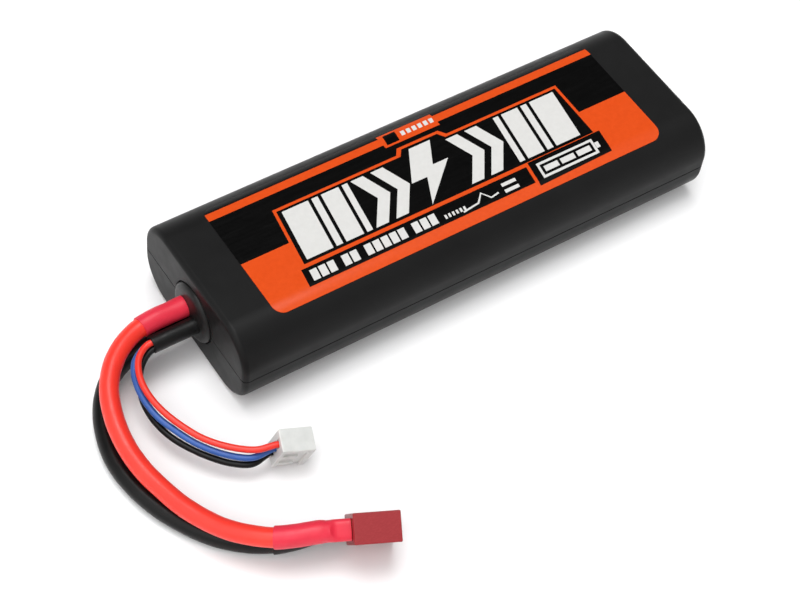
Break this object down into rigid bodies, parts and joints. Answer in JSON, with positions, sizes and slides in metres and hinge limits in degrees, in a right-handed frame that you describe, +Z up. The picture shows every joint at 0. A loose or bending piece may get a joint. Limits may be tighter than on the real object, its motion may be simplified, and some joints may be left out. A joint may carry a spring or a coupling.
{
  "type": "lipo battery pack",
  "caption": "Round-sided hard-case lithium polymer stick pack with red and black power leads to a two-blade plug and a thin balance lead to a white connector.",
  "frame": {"origin": "centre of the case's footprint, on the surface it stands on", "axes": "+X along the case away from the lead end, +Y across it, +Z up out of the labelled face"},
  "size_m": [0.1736, 0.1019, 0.0248],
  "materials": {
    "case_plastic": "satin black moulded plastic",
    "label_print": "glossy printed film",
    "black_rubber": "matt rubber",
    "red_silicone": "smooth silicone",
    "black_silicone": "smooth silicone",
    "blue_silicone": "smooth silicone",
    "red_shrink": "smooth shrink sleeve",
    "black_shrink": "satin shrink sleeve",
    "plug_nylon": "satin moulded nylon",
    "white_nylon": "natural white nylon",
    "gold_plate": "plated spring contact",
    "nickel": "plated strip",
    "aluminium_tab": "thin foil tab",
    "cell_foil": "laminated pouch foil",
    "foam": "soft black foam",
    "board": "glass-fibre board",
    "insulator_paper": "insulating paper"
  },
  "bodies": {
    "root": {"case_upper": "case_plastic", "case_lower": "case_plastic", "lead_grommet": "black_rubber", "label": "label_print", "cell_lower": "cell_foil", "cell_upper": "cell_foil", "tab_lower_positive": "aluminium_tab", "tab_upper_positive": "aluminium_tab", "tab_lower_negative": "nickel", "tab_upper_negative": "nickel", "cell_divider": "foam", "foam_bottom": "foam", "foam_top": "foam", "foam_rear": "foam", "terminal_board": "board", "board_insulator": "insulator_paper", "series_link": "nickel", "main_lead_positive": "red_silicone", "main_lead_negative": "black_silicone", "balance_wire_positive": "red_silicone", "balance_wire_middle": "blue_silicone", "balance_wire_negative": "black_silicone", "exit_sleeve_positive": "red_shrink", "exit_sleeve_negative": "black_shrink", "balance_sheath": "black_shrink", "plug_housing": "plug_nylon", "plug_contact_positive": "gold_plate", "plug_contact_negative": "gold_plate", "plug_sleeve_positive": "red_shrink", "plug_sleeve_negative": "black_shrink", "balance_housing": "white_nylon", "balance_terminal_positive": "nickel", "balance_terminal_middle": "nickel", "balance_terminal_negative": "nickel"}
  },
  "joints": []
}
